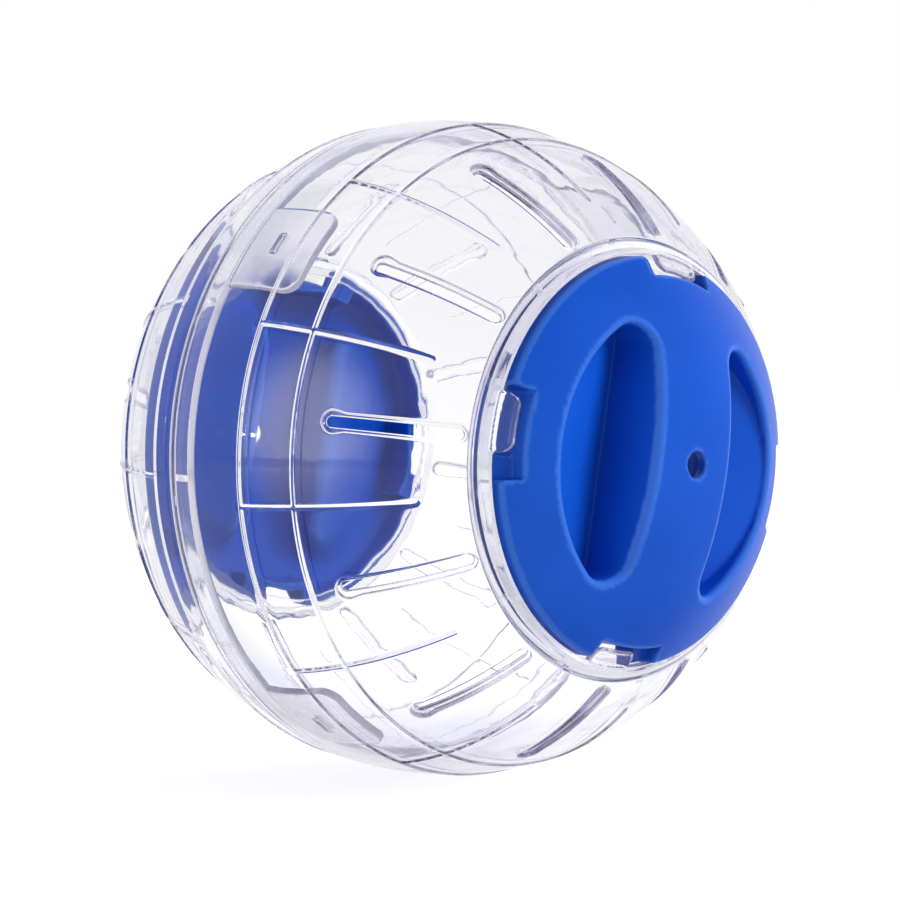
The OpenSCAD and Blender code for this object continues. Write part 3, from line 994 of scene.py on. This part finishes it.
def blue_plastic():
    """Moulded opaque blue plastic: a satin gloss, a fine, slightly uneven skin and a painted highlight that
    makes convex edges lighter.
    """
    material, shader, add = new_material("blue_plastic")
    tree = material.node_tree
    link = tree.links.new
    shader.inputs["Specular IOR Level"].default_value = 0.25
    place = add("ShaderNodeTexCoord")
    cloud = add("ShaderNodeTexNoise", Scale=45.0, Detail=3.0)
    link(place.outputs["Object"], cloud.inputs["Vector"])
    tint = add("ShaderNodeValToRGB")
    ramp(tint, *BLUE_TINT)
    link(cloud.outputs["Fac"], tint.inputs["Fac"])
    # Painted highlight: convex edges mixed toward a lighter blue
    painted_edge_highlight = add("ShaderNodeAttribute")
    painted_edge_highlight.attribute_name = "painted_edge_highlight"
    link(mixed(tree, painted_edge_highlight.outputs["Fac"], tint.outputs["Color"], BLUE_PAINTED_HIGHLIGHT), shader.inputs["Base Color"])
    level = add("ShaderNodeMapRange", To_Min=0.3, To_Max=0.42)
    link(cloud.outputs["Fac"], level.inputs["Value"])
    link(level.outputs["Result"], shader.inputs["Roughness"])
    grain = add("ShaderNodeTexNoise", Scale=2200.0, Detail=2.0)
    link(place.outputs["Object"], grain.inputs["Vector"])
    bump = add("ShaderNodeBump", Strength=0.06, Distance=0.0002)
    link(grain.outputs["Fac"], bump.inputs["Height"])
    link(bump.outputs["Normal"], shader.inputs["Normal"])
    return material


# Stage


def bounced(tree, path, kind):
    """One for rays with a bounce of that kind behind them, and zero for others."""
    return math_node(tree, "GREATER_THAN", path.outputs[kind + " Depth"], 0.5)


def eye_rays(tree, path, glossy):
    """One for rays that the camera sees without a diffuse bounce, and zero for those that light things."""
    outputs = path.outputs
    seen = math_node(tree, "MAXIMUM", outputs["Is Camera Ray"], outputs["Is Transmission Ray"])
    if glossy:
        seen = math_node(tree, "MAXIMUM", seen, outputs["Is Glossy Ray"])
    return math_node(tree, "MULTIPLY", seen, math_node(tree, "LESS_THAN", outputs["Diffuse Depth"], 0.5))


def towards(tree, direction, *stops):
    """Colours by how far a ray turns away from a direction in the room: a ramp over the cosine."""
    place = tree.nodes.new("ShaderNodeTexCoord")
    dot = tree.nodes.new("ShaderNodeVectorMath")
    dot.operation = "DOT_PRODUCT"
    dot.inputs[1].default_value = direction
    tree.links.new(place.outputs["Generated"], dot.inputs[0])
    band = tree.nodes.new("ShaderNodeValToRGB")
    band.color_ramp.interpolation = "EASE"
    ramp(band, *stops)
    tree.links.new(dot.outputs["Value"], band.inputs["Fac"])
    return band.outputs["Color"]


def direction_at(azimuth, elevation):
    """Unit vector to where a view of that azimuth and elevation is seen from."""
    a, e = math.radians(azimuth), math.radians(elevation)
    return Vector((math.sin(a) * math.cos(e), -math.cos(a) * math.cos(e), math.sin(e)))


def world():
    """A white background, a lilac-grey studio in reflections, and a level light on everything."""
    made = bpy.data.worlds.new("studio")
    bpy.context.scene.world = made
    made.use_nodes = True
    tree = made.node_tree
    light = tree.nodes["Background"]
    light.inputs["Color"].default_value = WHITE
    light.inputs["Strength"].default_value = SKY_LEVEL
    backdrop = towards(tree, direction_at(*BACKDROP_AT), *BACKDROP)
    glow = towards(tree, direction_at(*SOFTBOX_AT), *SOFTBOX_GLOW)
    path = tree.nodes.new("ShaderNodeLightPath")
    behind = mixed(tree, bounced(tree, path, "Transmission"), backdrop, (*STUDIO_PALE, 1))
    room = mixed(tree, 1, behind, glow, "ADD")
    seen = tree.nodes.new("ShaderNodeBackground")
    shown = mixed(tree, bounced(tree, path, "Glossy"), WHITE, room)
    tree.links.new(shown, seen.inputs["Color"])
    mix = tree.nodes.new("ShaderNodeMixShader")
    tree.links.new(eye_rays(tree, path, True), mix.inputs["Fac"])
    tree.links.new(light.outputs[0], mix.inputs[1])
    tree.links.new(seen.outputs[0], mix.inputs[2])
    tree.links.new(mix.outputs[0], tree.nodes["World Output"].inputs["Surface"])


def floor():
    """A pale floor under the ball, white to the eye where nothing shades it."""
    corners = np.array([(-1, -1, 0), (1, -1, 0), (1, 1, 0), (-1, 1, 0)]) * FLOOR_HALF
    piece = mesh_object("floor", corners, [[0, 1, 2, 3]])
    piece.location.z = -BALL_R * MM - FLOOR_GAP
    material, shader, _ = new_material("floor")
    tree = material.node_tree
    shader.inputs["Base Color"].default_value = FLOOR_TINT
    shader.inputs["Roughness"].default_value = 0.9
    shader.inputs["Specular IOR Level"].default_value = 0.0
    shader.inputs["Emission Color"].default_value = WHITE
    path = tree.nodes.new("ShaderNodeLightPath")
    loss = math_node(tree, "MULTIPLY", bounced(tree, path, "Glossy"), FLOOR_MIRRORED_LOSS)
    lift = math_node(tree, "SUBTRACT", FLOOR_LIFT, loss)
    lift = math_node(tree, "MULTIPLY", eye_rays(tree, path, False), lift)
    tree.links.new(lift, shader.inputs["Emission Strength"])
    piece.data.materials.append(material)
    piece.visible_glossy = False


def lamp(name, place, size, power, mirrored):
    """A round soft box that faces the ball, placed as a view is, and seen in reflections or not."""
    data = bpy.data.lights.new(name, "AREA")
    data.shape = "DISK"
    data.size = size
    data.energy = power
    made = bpy.data.objects.new(name, data)
    bpy.context.scene.collection.objects.link(made)
    back = direction_at(*place)
    made.location = back * LAMP_DISTANCE
    made.rotation_euler = (-back).to_track_quat("-Z", "Y").to_euler()
    made.visible_glossy = mirrored
    made.visible_transmission = mirrored


def light_paths():
    """Lets light run on inside the clear walls until it leaves them, where it would else end in black."""
    cycles = bpy.context.scene.cycles
    cycles.max_bounces = 32
    cycles.glossy_bounces = 24
    cycles.transmission_bounces = 32


def camera():
    """The camera, aimed at the ball's centre."""
    data = bpy.data.cameras.new("camera")
    data.lens = CAMERA_LENS
    data.sensor_width = CAMERA_SENSOR
    data.shift_x, data.shift_y = CAMERA_SHIFT
    made = bpy.data.objects.new("camera", data)
    bpy.context.scene.collection.objects.link(made)
    made.location = CAMERA_AT
    made.rotation_euler = (-CAMERA_AT).to_track_quat("-Z", "Y").to_euler()
    bpy.context.scene.camera = made


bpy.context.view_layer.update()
bpy.context.scene.view_settings.view_transform = "Standard"
camera()
light_paths()
world()
floor()
for settings in LAMPS:
    lamp(*settings)

clear, blue = clear_plastic(), blue_plastic()
front_lid, rear_lid = lids()
dressed = [
    (front_half(), "front_half", "front_shell", "clear_plastic", clear),
    (rear_half(), "rear_half", "rear_shell", "clear_plastic", clear),
    (front_lid, "front_cap", "front_lid", "blue_plastic", blue),
    (rear_lid, "rear_cap", "rear_lid", "blue_plastic", blue),
]
for piece, body, node, slot, material in dressed:
    piece.data.materials.clear()
    piece.data.materials.append(material)
    if slot == "clear_plastic":
        shade(piece)
    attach(piece, body)
    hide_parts(node)
